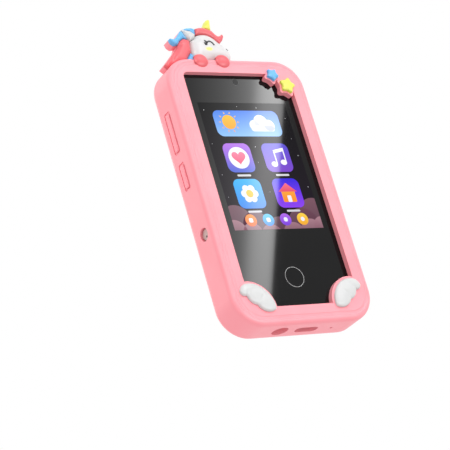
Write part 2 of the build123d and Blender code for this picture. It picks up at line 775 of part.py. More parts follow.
def save_phone():
    panel, light, tail = display_parts()
    lens, led = torch()
    save("mid_frame", mid_frame())
    save("rear_housing", rear_housing())
    save("cover_glass", cover_glass())
    save("display_panel", panel)
    save("display_backlight", light)
    save("display_flex", tail)
    save("housing_screws", housing_screws())
    save("main_board", main_board())
    save("processor_chips", processor_chips())
    save("shield_can", on_board(*shield_size))
    save("card_slot", on_board(*card_slot_size))
    save("battery", block(battery_x, (split_y + 0.2, split_y + 0.2 + battery_thickness),
                          (battery_bottom, battery_top)))
    save("battery_connector", on_board(*battery_connector_size))
    save("loudspeaker", loudspeaker())
    save("speaker_gasket", speaker_gasket())
    save("microphone", on_board(mic_x, phone_low + shell_wall + 2.6, *microphone_size))
    save("front_camera", block((-front_camera_half, front_camera_half), (glass_back, plate_front),
                               (front_camera_z - front_camera_half, front_camera_z + front_camera_half)))
    save("rear_camera", rear_camera())
    save("camera_cover", camera_cover())
    save("camera_lens", camera_lens())
    save("flash_led", flash_led())
    save("usb_port", usb_port())
    save("headphone_jack", headphone_jack())
    save("torch_lens", lens)
    save("torch_led", led)


def save_keys():
    save("volume_key", key(volume_z, volume_length, volume_length / 2 - 0.2, rocker_gap))
    save("volume_pad", key_pad(volume_z, volume_length))
    save("power_key", key(power_z, power_length, power_length / 2 + flange_reach, press_gap))
    save("power_pad", key_pad(power_z, power_length))
    volume_x = -wall_in_x + rocker_gap + flange_thickness
    power_x = -wall_in_x + press_gap + flange_thickness
    switches = tactile_switch(volume_z + switch_offset, volume_x)
    switches += tactile_switch(volume_z - switch_offset, volume_x)
    switches += tactile_switch(power_z, power_x)
    save("tactile_switches", switches)


save_case_and_figures()
save_back_relief()
save_phone()
save_keys()
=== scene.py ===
# %% [markdown]
# # A toy phone in a unicorn case
# The phone's exact parts come from the imported CAD model. This script gives them their finishes and
# adds the soft, rounded figures, the printed marks and the lit picture. First the model is loaded.

# %% Load the imported model
import json
import math

import bpy
import numpy as np
from mathutils import Matrix, Vector
from mathutils.bvhtree import BVHTree


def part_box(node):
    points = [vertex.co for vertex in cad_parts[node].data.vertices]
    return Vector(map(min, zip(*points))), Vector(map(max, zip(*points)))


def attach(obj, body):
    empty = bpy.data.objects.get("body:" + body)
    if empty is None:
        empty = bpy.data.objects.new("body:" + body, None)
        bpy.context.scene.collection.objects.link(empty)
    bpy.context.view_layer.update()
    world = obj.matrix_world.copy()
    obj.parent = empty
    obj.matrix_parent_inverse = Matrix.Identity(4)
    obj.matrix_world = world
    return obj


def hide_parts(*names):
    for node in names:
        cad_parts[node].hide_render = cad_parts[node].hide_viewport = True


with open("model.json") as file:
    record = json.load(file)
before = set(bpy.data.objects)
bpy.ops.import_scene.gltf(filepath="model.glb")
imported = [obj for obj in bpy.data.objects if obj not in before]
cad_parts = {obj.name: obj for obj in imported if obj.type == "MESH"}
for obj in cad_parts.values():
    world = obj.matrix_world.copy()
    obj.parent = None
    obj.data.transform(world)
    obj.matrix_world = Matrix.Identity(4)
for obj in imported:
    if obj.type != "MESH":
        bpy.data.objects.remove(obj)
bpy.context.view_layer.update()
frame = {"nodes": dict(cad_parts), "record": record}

MM = 0.001
nodes = frame["nodes"]
scene = bpy.context.scene
case_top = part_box("silicone_case")[1].z / MM
glass_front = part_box("cover_glass")[0].y
print("CAD nodes", len(nodes), "case top at", round(case_top, 1), "mm")

# %% [markdown]
# ## Small helpers
# Every colour below is written as an sRGB hex value, the way a paint chart gives it. Blender's
# shaders work in linear light, so one function turns the hex value into linear numbers. Another
# adds a shader node with its settings and links, and is the only way that this script builds
# materials.

# %% Colour and node helpers
def linear(hex_colour):
    values = [int(hex_colour[i:i + 2], 16) / 255 for i in (1, 3, 5)]
    return [v / 12.92 if v <= 0.04045 else ((v + 0.055) / 1.055) ** 2.4 for v in values] + [1.0]


def add(tree, kind, links=None, settings=None, **values):
    """Adds a shader node. Values go to its inputs, settings to its options, links join sockets."""
    made = tree.nodes.new(kind)
    for name, value in (settings or {}).items():
        setattr(made, name, value)
    for name, value in values.items():
        made.inputs[name.replace("_", " ")].default_value = value
    for name, socket in (links or {}).items():
        tree.links.new(socket, made.inputs[name])
    return made


def new_material(name):
    material = bpy.data.materials.new(name)
    material.use_nodes = True
    material.node_tree.nodes.clear()
    return material, material.node_tree


def finish_material(tree, shader):
    add(tree, "ShaderNodeOutputMaterial", {"Surface": shader})


print("coral as linear light:", [round(v, 3) for v in linear("#f5878c")[:3]])

# %% [markdown]
# ## The camera
# The phone is seen from its left, in front of it and a little below it, through a long lens that
# keeps its edges nearly parallel. The three axes of the camera are written as the columns of a
# matrix: to the right, up, and back towards the viewer.

# %% Camera
camera = bpy.data.objects.new("camera", bpy.data.cameras.new("camera"))
scene.collection.objects.link(camera)
scene.camera = camera
camera.data.lens, camera.data.sensor_width = 140.8, 36.0
camera_place = Vector((-0.40507, -0.52408, -0.20124))
right_axis = Vector((0.8336, -0.4857, -0.2630)).normalized()
back_axis = -Vector((0.5518, 0.7540, 0.3564)).normalized()
up_axis = back_axis.cross(right_axis).normalized()
turn = Matrix((right_axis, up_axis, back_axis)).transposed()
camera.matrix_world = Matrix.Translation(camera_place) @ turn.to_4x4()
camera.data.clip_start = 0.01
print("camera is", round((camera_place - Vector((0, 0, 0.06))).length, 3), "m from the phone")

# %% [markdown]
# ## Background
# A studio picture of a small product stands on white. The world is white where the camera, a
# polished surface or clear glass looks at it, and a softer light for everything else. A large white
# dome could do the same, but the world needs no mesh and casts no shadow of its own.

# %% World
world = bpy.data.worlds.new("white studio")
scene.world = world
world.use_nodes = True
sky = world.node_tree
sky.nodes.clear()
path = add(sky, "ShaderNodeLightPath")
seen = add(sky, "ShaderNodeMath", {0: path.outputs["Is Camera Ray"], 1: path.outputs["Is Glossy Ray"]},
           {"operation": "MAXIMUM"})
seen = add(sky, "ShaderNodeMath", {0: seen.outputs[0], 1: path.outputs["Is Transmission Ray"]},
           {"operation": "MAXIMUM"})
SOFT_LIGHT = 0.92
level = add(sky, "ShaderNodeMapRange", {"Value": seen.outputs[0]}, To_Min=SOFT_LIGHT, To_Max=1.0)
white = add(sky, "ShaderNodeBackground", {"Strength": level.outputs[0]}, Color=(1, 1, 1, 1))
add(sky, "ShaderNodeOutputWorld", {"Surface": white.outputs[0]})
scene.view_settings.view_transform = "Standard"

# %% [markdown]
# ## Floor
# The floor is a sheet of pale paper that sweeps away into white. It is only seen from above, where
# it keeps the phone's shadow. From below it lets the view through, so the ports in the bottom can be
# seen. One flat square with a mixed material is enough, because the fade does the work of a curve.

# %% Floor
FLOOR_REACH = 1.5
FADE_START, FADE_END = 0.15, 0.9
floor_mesh = bpy.data.meshes.new("floor")
floor_corners = ((-1, -1), (1, -1), (1, 1), (-1, 1))
floor_mesh.from_pydata([(x * FLOOR_REACH, y * FLOOR_REACH, 0) for x, y in floor_corners],
                       [], [(0, 1, 2, 3)])
floor = bpy.data.objects.new("floor", floor_mesh)
scene.collection.objects.link(floor)
floor.location.z = -0.1 * MM
pale_paper, tree = new_material("pale backdrop paper")
facing = add(tree, "ShaderNodeNewGeometry")
path = add(tree, "ShaderNodeLightPath")
above = add(tree, "ShaderNodeMath", {1: facing.outputs["Backfacing"]}, {"operation": "SUBTRACT"})
above.inputs[0].default_value = 1.0
shown = add(tree, "ShaderNodeMath", {0: above.outputs[0], 1: path.outputs["Is Camera Ray"]},
            {"operation": "MULTIPLY"})
paper = add(tree, "ShaderNodeBsdfDiffuse", Color=linear("#f6f5f4"))
place = add(tree, "ShaderNodeTexCoord").outputs["Object"]
away = add(tree, "ShaderNodeVectorMath", {0: place}, {"operation": "LENGTH"})
far = add(tree, "ShaderNodeMapRange", {"Value": away.outputs["Value"]},
          {"interpolation_type": "SMOOTHSTEP"}, From_Min=FADE_START, From_Max=FADE_END)
haze = add(tree, "ShaderNodeEmission", Color=(1, 1, 1, 1))
sweep = add(tree, "ShaderNodeMixShader", {0: far.outputs[0], 1: paper.outputs[0], 2: haze.outputs[0]})
clear = add(tree, "ShaderNodeBsdfTransparent")
both = add(tree, "ShaderNodeMixShader", {0: shown.outputs[0], 1: clear.outputs[0], 2: sweep.outputs[0]})
finish_material(tree, both.outputs[0])
floor_mesh.materials.append(pale_paper)
print("floor of", 2 * FLOOR_REACH, "m")

# %% [markdown]
# ## Lamps
# Large soft lamps suit soft rubber: a big lamp gives a shadow with no hard edge. One stands in
# front and one behind. Two long strips add the pale bands that run along the rounded rims. They are
# kept out of the diffuse light, so they shape the edges and leave the colours as they are.

# %% Lamps
def softbox(name, place, target, size, watts, height=None):
    lamp = bpy.data.lights.new(name, "AREA")
    lamp.shape = "RECTANGLE"
    lamp.size = size
    lamp.size_y = height or size
    lamp.energy = watts
    lamp_object = bpy.data.objects.new(name, lamp)
    lamp_object.location = place
    lamp_object.rotation_euler = (Vector(target) - Vector(place)).to_track_quat("-Z", "Y").to_euler()
    scene.collection.objects.link(lamp_object)
    return lamp_object


phone_middle = (0, 0, 0.06)
softbox("front softbox", (0.15, -1.1, 0.75), phone_middle, 0.7, 8.8)
softbox("rear softbox", (-0.3, 1.1, 0.6), phone_middle, 0.7, 3.0)
low_strip = softbox("low strip", (0.10, -0.86, -0.40), phone_middle, 1.1, 12.0, 0.22)
side_strip = softbox("side strip", (-0.72, -0.60, 0.42), phone_middle, 0.16, 5.0, 0.6)
low_strip.visible_diffuse = side_strip.visible_diffuse = False
print("two softboxes, and two strips that only show as highlights on the rounded rims")

# %% [markdown]
# ## A reflection for the glass
# Black glass shows little of its own colour: what makes it read as glass is what it mirrors. Here it
# mirrors a tall softbox card whose light fades away to one side, with a soft upright edge on the
# other. A lamp would light the case too, so a glowing card that only shiny surfaces see is used. It
# is placed by following lines of sight to points on the glass and bouncing them off it.

# %% Reflection card
CARD_DISTANCE = 0.70
REFLECTION_MIDDLE = (-10.2, 54.6)
bright_edge = ((29.8, 119.4), (-17.1, 3.7))
faded_edge = ((-44.6, 117.2), (-82.8, 7.6))


def bounce(x, z):
    """The line of sight to an x, z point of the glass, in millimetres, mirrored in the glass there."""
    start = Vector((x * MM, glass_front, z * MM))
    sight = start - camera_place
    return start, Vector((sight.x, -sight.y, sight.z)).normalized()


middle_start, card_normal = bounce(*REFLECTION_MIDDLE)
card_centre = middle_start + card_normal * CARD_DISTANCE


def on_card(x, z):
    start, direction = bounce(x, z)
    return start + direction * ((card_centre - start).dot(card_normal) / direction.dot(card_normal))


corners = [on_card(x, z) for x, z in (faded_edge[0], bright_edge[0], bright_edge[1], faded_edge[1])]
card_mesh = bpy.data.meshes.new("reflection card")
card_mesh.from_pydata([tuple(c) for c in corners], [], [(0, 1, 2, 3)])
card_uv = card_mesh.uv_layers.new(name="across")
for loop, uv in zip(card_uv.data, ((0, 1), (1, 1), (1, 0), (0, 0))):
    loop.uv = uv
card = bpy.data.objects.new("reflection_card", card_mesh)
scene.collection.objects.link(card)
card.visible_camera = card.visible_diffuse = card.visible_transmission = card.visible_shadow = False
card_light, tree = new_material("fading softbox")
uv = add(tree, "ShaderNodeTexCoord")
split = add(tree, "ShaderNodeSeparateXYZ", {0: uv.outputs["UV"]})
CARD_PEAK = 20.0
CARD_EDGE_LEVEL = 0.06
fade = add(tree, "ShaderNodeFloatCurve", {"Value": split.outputs[0]})
curve = fade.mapping.curves[0]
curve.points[0].location = (0.0, CARD_EDGE_LEVEL)
curve.points[1].location = (1.0, CARD_EDGE_LEVEL)
for x, y in ((0.45, 0.12), (0.75, 0.36), (0.95, 1.0), (0.975, 0.9)):
    curve.points.new(x, y)
fade.mapping.update()
height = add(tree, "ShaderNodeMapRange", {"Value": split.outputs[1]}, To_Min=0.72 * CARD_PEAK,
             To_Max=1.12 * CARD_PEAK)
power = add(tree, "ShaderNodeMath", {0: fade.outputs[0], 1: height.outputs[0]}, {"operation": "MULTIPLY"})
glow = add(tree, "ShaderNodeEmission", {"Strength": power.outputs[0]}, Color=(1, 1, 1, 1))
finish_material(tree, glow.outputs[0])
card_mesh.materials.append(card_light)
print("card is", round((corners[1] - corners[2]).length, 3), "m tall")

# %% [markdown]
# ## Silicone rubber
# The case and its figures are moulded silicone. Moulded silicone has a soft satin skin: the
# highlight is wide, the colour is even but for a faint cloudiness, and the mould leaves a grain
# too fine to count. A real grain of about 0.05 mm is too fine to show, so it is drawn at 0.35 mm. A
# little sheen at grazing angles gives the bloom that a soft rubber has along its edges.

# %% Silicone
def object_place(tree):
    return add(tree, "ShaderNodeTexCoord").outputs["Object"]


def grain(tree, size_mm, depth_mm, strength=0.3):
    """A bump from noise whose lumps are about size_mm across."""
    noise = add(tree, "ShaderNodeTexNoise", {"Vector": object_place(tree)}, Scale=1 / (size_mm * MM),
                Detail=3.0, Roughness=0.6)
    return add(tree, "ShaderNodeBump", {"Height": noise.outputs[0]}, Strength=strength,
               Distance=depth_mm * MM).outputs[0]


def clouded(tree, colour, deeper, size_mm=9.0):
    """A colour that drifts softly to a deeper one, in patches about size_mm across."""
    noise = add(tree, "ShaderNodeTexNoise", {"Vector": object_place(tree)}, Scale=1 / (size_mm * MM),
                Detail=2.0)
    ramp = add(tree, "ShaderNodeValToRGB", {"Fac": noise.outputs[0]})
    ramp.color_ramp.elements[0].position, ramp.color_ramp.elements[1].position = 0.3, 0.7
    ramp.color_ramp.elements[0].color = linear(deeper)
    ramp.color_ramp.elements[1].color = linear(colour)
    return ramp.outputs[0]


def silicone(name, colour, deeper, roughness=0.42, colour_socket=None):
    material, tree = new_material(name)
    skin = add(tree, "ShaderNodeBsdfPrincipled",
               {"Base Color": colour_socket(tree) if colour_socket else clouded(tree, colour, deeper),
                "Normal": grain(tree, 0.35, 0.02)},
               Roughness=roughness, IOR=1.41, Sheen_Weight=0.08, Sheen_Roughness=0.5)
    finish_material(tree, skin.outputs[0])
    return material


# Moulded in a blasted mould: wide, soft highlights on the big pink case.
pink_silicone = silicone("pink silicone rubber", "#ff9da7", "#ff99a3")
# The figures come from smoother moulds, so their highlights are a little tighter.
coral_silicone = silicone("coral silicone rubber", "#e4676e", "#e0626a", 0.36)
blue_silicone = silicone("sky blue silicone rubber", "#69b6ea", "#64b1e6", 0.38)
yellow_silicone = silicone("lemon silicone rubber", "#e4e862", "#dfe35a", 0.38)
# White shows its form by shading alone, so it is kept well under full white.
white_silicone = silicone("white silicone rubber", "#d0d0d0", "#cccdcd", 0.40)
# The low relief on the back has quieter colours, as satin as the case.
teal_silicone = silicone("teal silicone rubber", "#2ea6a4", "#299d9c", 0.40)
rose_silicone = silicone("rose silicone rubber", "#e58b92", "#df848c", 0.42)
print("seven silicone colours")

# %% [markdown]
# ## Glass, plastic and metal
# The cover is toughened glass, black on its back. Its face is polished flat, so its roughness is
# close to nothing and its reflection is sharp. The camera cover is smoked acrylic, a little
# softer than glass. The ring round it is satin ABS. Inside are nickel, epoxy, green board lacquer
# and amber polyimide, as in any small electronic toy.

# %% Hard materials
def hard(name, colour, deeper, roughness, metallic=0.0, size_mm=1.2, depth_mm=0.01, **more):
    material, tree = new_material(name)
    if not metallic:
        more.setdefault("IOR", 1.5)
    skin = add(tree, "ShaderNodeBsdfPrincipled",
               {"Base Color": clouded(tree, colour, deeper, size_mm * 4),
                "Normal": grain(tree, size_mm, depth_mm, 0.2)},
               Roughness=roughness, Metallic=metallic, **more)
    finish_material(tree, skin.outputs[0])
    return material


def polished(name, colour, deeper, roughness=0.03, level=0.19):
    """Optically flat: no grain, only the colour of what is behind the polish."""
    material, tree = new_material(name)
    skin = add(tree, "ShaderNodeBsdfPrincipled", {"Base Color": clouded(tree, colour, deeper, 20.0)},
               Roughness=roughness, IOR=1.5, Specular_IOR_Level=level)
    finish_material(tree, skin.outputs[0])
    return material


# Float glass, painted black behind: deep black with one sharp reflection.
black_glass = polished("black backed toughened glass", "#0b0b0c", "#080809")
# Cast and tinted: a warm brown black, a touch softer than glass.
smoked_acrylic = polished("smoked acrylic", "#2c1a1d", "#241417", 0.06, 0.3)
# Polished lens glass over a pale barrel: a soft grey that catches a sharp glint.
clear_lens = polished("coated lens glass", "#9a9a88", "#6c6c5e", 0.05, 0.6)
# Injection moulded ABS: an even satin, between rubber and glass in shine.
grey_abs = hard("satin grey ABS", "#d9dad5", "#d4d5d0", 0.38)
pink_abs = hard("moulded pink ABS", "#d48a90", "#cd8289", 0.45)
# The headphone socket's darker rose is painted shade for the deep opening that it sits in.
shaded_rose_abs = hard("rose ABS darkened as painted shade", "#b8777d", "#b06f76", 0.5)
# Plated and tinned sheet steel: a metal's coloured reflection, blurred by the stamping.
nickel = hard("nickel plated steel", "#a99a9a", "#9a8b8c", 0.35, 1.0)
tinned = hard("tinned steel", "#c6c6c2", "#bbbbb7", 0.4, 1.0)
# Chips are moulded from filled epoxy: near black and dry, with a fine tooth.
epoxy = hard("black moulded epoxy", "#1c1c1e", "#161617", 0.55, size_mm=0.5)
# Solder lacquer flows as it cures: green, with a glossy film.
lacquer = hard("green board lacquer", "#1c6b3c", "#185f35", 0.3)
# The cell's pouch is laminated foil: silvery, with slow ripples 2 mm across.
foil = hard("laminated pouch foil", "#c9cbd0", "#bcbec4", 0.35, 0.9, 2.0, 0.05)
# Moulded nylon: a dull, creamy ivory.
cream_nylon = hard("cream nylon", "#e8e2cf", "#ded7c2", 0.5)
# Cast polyimide film: a smooth, glossy amber.
amber_film = hard("amber polyimide film", "#b3701e", "#a3641a", 0.25)
# Open-celled foam: it swallows light, so only its rough edge is seen.
foam = hard("black foam rubber", "#232323", "#1a1a1a", 0.85, size_mm=0.6, depth_mm=0.1)
# Resin over the lamp chip: a soft yellow even when unlit.
phosphor = hard("yellow phosphor resin", "#ece6a0", "#e0d98e", 0.35)
# Diffuser film scatters all that falls on it: plain, even white.
white_film = hard("white diffuser film", "#eeeeea", "#e6e6e2", 0.5)
# A liquid crystal cell that isn't lit: a violet black under its polariser.
dark_cell = polished("unlit liquid crystal cell", "#15131f", "#110f1a", 0.1, 0.5)
print("seventeen hard materials")

# %% [markdown]
# ## A finish for every CAD piece
# Each imported node says which material slot it has. A table from slot to material gives all of them a
# finish at once, and a later change of one material reaches every piece that is made of it. The
# headphone socket is set by itself to a darker rose than its slot: painted shade for the deep opening it
# sits in.

# %% Finish every CAD node
slot_finish = {
    "pink_silicone": pink_silicone, "white_silicone": white_silicone, "coral_silicone": coral_silicone,
    "blue_silicone": blue_silicone, "yellow_silicone": yellow_silicone, "teal_silicone": teal_silicone,
    "rose_silicone": rose_silicone, "grey_trim": grey_abs, "black_glass": black_glass,
    "dark_acrylic": smoked_acrylic, "lens_glass": clear_lens, "display": dark_cell,
    "backlight": white_film, "shell_plastic": pink_abs, "board": lacquer, "chip": epoxy,
    "steel": nickel, "shield": tinned, "battery": foil, "connector": cream_nylon, "flex": amber_film,
    "foam": foam, "led": phosphor,
}
slot_of = {part["node"]: part["material_slot"] for part in frame["record"]["subparts"]}
for name, node in nodes.items():
    node.material_slots[0].link = "OBJECT"
    node.material_slots[0].material = slot_finish[slot_of[name]]
# A darker rose on the socket: painted shade for the opening it sits deep in.
nodes["headphone_jack"].material_slots[0].material = shaded_rose_abs
nodes["mid_frame"].material_slots[0].material = pink_abs
print("finished", len(nodes), "CAD nodes")

# %% [markdown]
# ## Puffed figures
# The figures on the case are moulded in other colours, with plump, pillow-like faces. A cushion
# shape like this can be sculpted, or built from a flat outline whose height depends on how far a
# point is from the edge. The second way follows the CAD outline exactly, so it is used here: the
# flat CAD solid is remeshed finely, each point's height is set from its distance to the edge, and
# the result is smoothed.

# %% Puffing
def front_outline(mesh, front_y):
    """The edges that bound the flat front of a CAD solid, as rows of x0, z0, x1, z1 in metres."""
    place = np.array([v.co for v in mesh.vertices])
    count = {}
    for face in mesh.polygons:
        if all(abs(place[v][1] - front_y) < 1e-5 for v in face.vertices):
            ring = [tuple(np.round(place[v][[0, 2]], 7)) for v in face.vertices]
            for a, b in zip(ring, ring[1:] + ring[:1]):
                key = (min(a, b), max(a, b))
                count[key] = count.get(key, 0) + 1
    return np.array([[*a, *b] for (a, b), uses in count.items() if uses == 1])


def edge_distance(points, edges):
    """How far each x, z point is from the nearest edge."""
    start, end = edges[:, :2], edges[:, 2:]
    along = end - start
    nearest = np.full(len(points), 1e9)
    for a, d in zip(start, along):
        share = np.clip(((points - a) @ d) / max(d @ d, 1e-18), 0, 1)
        nearest = np.minimum(nearest, np.linalg.norm(points - a - share[:, None] * d, axis=1))
    return nearest


def puffed(name, node_name, material, voxel_mm=0.3, edge_mm=2.5, low=0.45, crown_mm=0.0,
           facing=-1, soften=4, grooves=()):
    """A plump copy of a flat CAD solid. Its face rises from low at the edge to full height edge_mm in."""
    source = nodes[node_name]
    block_out = bpy.data.objects.new("block_out", source.data.copy())
    scene.collection.objects.link(block_out)
    remesh = block_out.modifiers.new("voxels", "REMESH")
    remesh.mode = "VOXEL"
    remesh.voxel_size = voxel_mm * MM
    graph = bpy.context.evaluated_depsgraph_get()
    mesh = bpy.data.meshes.new_from_object(block_out.evaluated_get(graph))
    bpy.data.objects.remove(block_out)
    place = np.array([v.co for v in mesh.vertices])
    low_corner, high_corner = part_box(node_name)
    face_y = low_corner.y if facing < 0 else high_corner.y
    root_y = high_corner.y if facing < 0 else low_corner.y
    edges = front_outline(source.data, face_y)
    distance = edge_distance(place[:, [0, 2]], edges) / MM
    inward = np.clip(distance / edge_mm, 0, 1)
    height = low + (1 - low) * np.sqrt(1 - (1 - inward) ** 2)
    thickness = (face_y - root_y) / MM
    height = height + crown_mm / abs(thickness) * np.clip(distance / distance.max(), 0, 1)
    for x0, z0, x1, z1, depth, width in grooves:
        line = np.array([[x0, z0, x1, z1]]) * MM
        away = edge_distance(place[:, [0, 2]], line) / MM
        height = height - depth / abs(thickness) * np.exp(-(away / width) ** 2)
    share = (place[:, 1] - root_y) / (face_y - root_y)
    place[:, 1] = root_y + (face_y - root_y) * share * height
    mesh.vertices.foreach_set("co", place.astype(np.float32).ravel())
    mesh.materials.clear()
    mesh.materials.append(material)
    for face in mesh.polygons:
        face.use_smooth = True
        face.material_index = 0
    piece = bpy.data.objects.new(name, mesh)
    scene.collection.objects.link(piece)
    smooth = piece.modifiers.new("soften", "SMOOTH")
    smooth.factor = 0.5
    smooth.iterations = soften
    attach(piece, "root")
    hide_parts(node_name)
    print(name, len(mesh.vertices), "points, rises", round(abs(thickness), 1), "mm")
    return piece


# %% [markdown]
# ## The unicorn's head
# The head stands on top of the case. The face is the plumpest part, and the hair lies a little
# lower round it in coral and blue. The cheek's yellow blush is printed, so it is a soft spot of
# colour in the face's own material and not a solid.

# %% Face material with its printed blush
BLUSH_PLACE = (-8.5, 5.2)
BLUSH_HALF = (1.6, 0.8)
BLUSH_SOFT = 0.4


def blushing_white(tree):
    """White with a soft oval of yellow on the cheek, whose edge fades over BLUSH_SOFT of its half size."""
    moved = add(tree, "ShaderNodeVectorMath", {0: object_place(tree)}, {"operation": "SUBTRACT"})
    moved.inputs[1].default_value = (BLUSH_PLACE[0] * MM, 0, (case_top + BLUSH_PLACE[1]) * MM)
    scaled = add(tree, "ShaderNodeVectorMath", {0: moved.outputs[0]}, {"operation": "MULTIPLY"})
    scaled.inputs[1].default_value = (1 / (BLUSH_HALF[0] * MM), 0, 1 / (BLUSH_HALF[1] * MM))
    away = add(tree, "ShaderNodeVectorMath", {0: scaled.outputs[0]}, {"operation": "LENGTH"})
    inside = add(tree, "ShaderNodeMapRange", {"Value": away.outputs["Value"]},
                 {"interpolation_type": "SMOOTHSTEP"},
                 From_Min=1 - BLUSH_SOFT, From_Max=1 + BLUSH_SOFT, To_Min=1.0, To_Max=0.0)
    mixed = add(tree, "ShaderNodeMix", {"Factor": inside.outputs[0], 6: clouded(tree, "#d6d5d5", "#d2d1d2")},
                {"data_type": "RGBA"})
    mixed.inputs[7].default_value = linear("#ece77e")
    return mixed.outputs[2]


# Pad printing leaves no edge that a finger feels, so the blush has the same satin as the face.
face_silicone = silicone("white silicone with printed blush", "", "", 0.38, blushing_white)
print("face has its blush")

# %% [markdown]
# ## Puffing the head's pieces
# Each piece of the head has its own width of rounding: the face slopes gently over 4.5 mm, and the
# hair, ear and horn are round over less than 2 mm, as thick strands are. The mane has one long
# crease pressed in, where two locks lie side by side.

# %% Head pieces
face = puffed("plump_face", "unicorn_face", face_silicone, 0.25, 4.5, 0.25, 0.5, soften=6)
puffed("plump_ear", "unicorn_ear", white_silicone, 0.2, 1.6, 0.45)
puffed("plump_fringe", "unicorn_fringe", coral_silicone, 0.2, 1.8, 0.5)
puffed("plump_forelock", "unicorn_forelock", blue_silicone, 0.2, 1.6, 0.5)
mane_crease = (-20.5, 127.0, -28.5, 116.5, 0.5, 0.7)
puffed("plump_mane", "unicorn_mane", coral_silicone, 0.25, 3.0, 0.45, grooves=(mane_crease,))
puffed("plump_neck_tuft", "unicorn_neck_tuft", blue_silicone, 0.2, 1.5, 0.6)
puffed("plump_horn", "unicorn_horn", yellow_silicone, 0.2, 1.6, 0.5)

# %% [markdown]
# ## The closed eye and the nostril
# The smiling eye is a printed line with three lashes, and the nostril is a short printed mark. A
# thin round line that follows the cheek gives the same look from every side, so each stroke is
# dropped onto the plump face along Y, and a fine tube is drawn along it.

# %% Printed strokes
# Pad printing lays a thin even film of ink: black, with a dull shine.
ink_black = hard("black pad printing ink", "#151416", "#111012", 0.4, size_mm=0.4)


def surface_of(piece):
    graph = bpy.context.evaluated_depsgraph_get()
    return BVHTree.FromObject(piece.evaluated_get(graph), graph)


RAY_START = 30 * MM
INK_LIFT = 0.05 * MM


def stroke(name, strokes, surface, facing=-1, radius_mm=0.2):
    """Fine printed lines laid on a figure. Each stroke is a list of x, z points in millimetres."""
    line = bpy.data.curves.new(name, "CURVE")
    line.dimensions = "3D"
    line.bevel_depth = radius_mm * MM
    line.bevel_resolution = 2
    line.use_fill_caps = True
    for points in strokes:
        spline = line.splines.new("NURBS")
        spline.points.add(len(points) - 1)
        for point, (x, z) in zip(spline.points, points):
            hit = surface.ray_cast(Vector((x * MM, facing * RAY_START, z * MM)), Vector((0, -facing, 0)))
            point.co = (x * MM, hit[0].y + facing * INK_LIFT, z * MM, 1)
        spline.order_u = 3
        spline.use_endpoint_u = True
    line.materials.append(ink_black)
    piece = bpy.data.objects.new(name, line)
    scene.collection.objects.link(piece)
    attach(piece, "root")
    return piece


def above_case(points):
    return [(x, z + case_top) for x, z in points]


face_surface = surface_of(face)
stroke("smiling_eye", [
    above_case([(-9.3, 7.0), (-8.9, 8.1), (-7.9, 8.9), (-6.9, 8.8), (-6.0, 8.0), (-5.5, 7.0)]),
    above_case([(-9.1, 7.5), (-9.9, 7.1)]),
    above_case([(-9.0, 7.9), (-9.6, 8.0), (-10.2, 7.9)]),
    above_case([(-8.6, 8.3), (-9.1, 8.9), (-9.8, 9.1)]),
], face_surface, radius_mm=0.31)
stroke("nostril", [above_case([(0.7, 6.0), (1.3, 5.9), (1.7, 5.5)])], face_surface, radius_mm=0.2)
print("eye and nostril drawn")

# %% [markdown]
# ## Wings and stars round the window
# The wings are white and plump, with shallow creases between the feathers. The stars are pillows
# with an even rounding from their points to their middle. Sculpting would need each one done by
# hand, so they are puffed from their outlines like the head.

# %% Wings and stars
window_corner_x, window_corner_z = -26.2, 7.4


WING_DROP = 0.7
CREASE_DEPTH, CREASE_WIDTH = 0.11, 0.6


def wing_creases(side, shift_x):
    """Two creases that run inward from the notches between the feathers."""
    def place(x, z):
        return side * (window_corner_x + x) + shift_x, window_corner_z + z - WING_DROP

    return tuple((*place(x0, z0), *place(x1, z1), CREASE_DEPTH, CREASE_WIDTH)
                 for x0, z0, x1, z1 in ((-0.3, 5.8, 3.2, 8.2), (3.5, 1.7, 6.2, 5.0)))


for side, name, shift_x in ((1, "left_wing", -0.5), (-1, "right_wing", -1.0)):
    puffed("plump_" + name, name, white_silicone, 0.2, 2.6, 0.35, 0.3,
           grooves=wing_creases(side, shift_x))
puffed("plump_blue_star", "blue_star", blue_silicone, 0.15, 1.0, 0.5, 0.15)
puffed("plump_yellow_star", "yellow_star", yellow_silicone, 0.15, 1.2, 0.5, 0.15)

# %% [markdown]
# ## The unicorn on the back
# The back carries a leaping unicorn in low relief. Its legs overlap, so creases are pressed in
# where one crosses the next. The eye is a printed dot, and the mouth is a printed line. It faces the
# other way from the figures in front, so the same function puffs it towards the back.

# %% Back relief
body_creases = (
    (11.0, 50.6, 9.0, 44.0, 0.6, 0.6), (14.6, 42.4, 8.6, 40.5, 0.5, 0.6),
    (10.6, 36.6, 6.5, 33.0, 0.4, 0.6), (1.9, 22.0, 0.0, 28.0, 0.6, 0.6),
)
relief = puffed("plump_relief_body", "relief_body", white_silicone, 0.3, 4.0, 0.2, 0.4, facing=1,
                soften=5, grooves=body_creases)
puffed("plump_relief_hooves", "relief_hooves", rose_silicone, 0.25, 2.0, 0.35, facing=1)
puffed("plump_relief_mane", "relief_mane", teal_silicone, 0.25, 2.5, 0.35, facing=1)
puffed("plump_relief_tail", "relief_tail", teal_silicone, 0.25, 3.0, 0.35, facing=1)
puffed("plump_relief_horn", "relief_horn", rose_silicone, 0.2, 1.2, 0.4, facing=1)
puffed("plump_relief_stars", "relief_stars", yellow_silicone, 0.2, 1.8, 0.35, 0.2, facing=1)
relief_surface = surface_of(relief)
stroke("relief_mouth", [[(17.9, 56.3), (15.8, 56.6), (13.6, 57.2), (11.6, 57.9)]],
       relief_surface, 1, 0.18)
stroke("relief_eye", [[(14.2, 61.3), (14.2, 61.0), (14.2, 60.7)]], relief_surface, 1, 0.35)
print("back relief done")

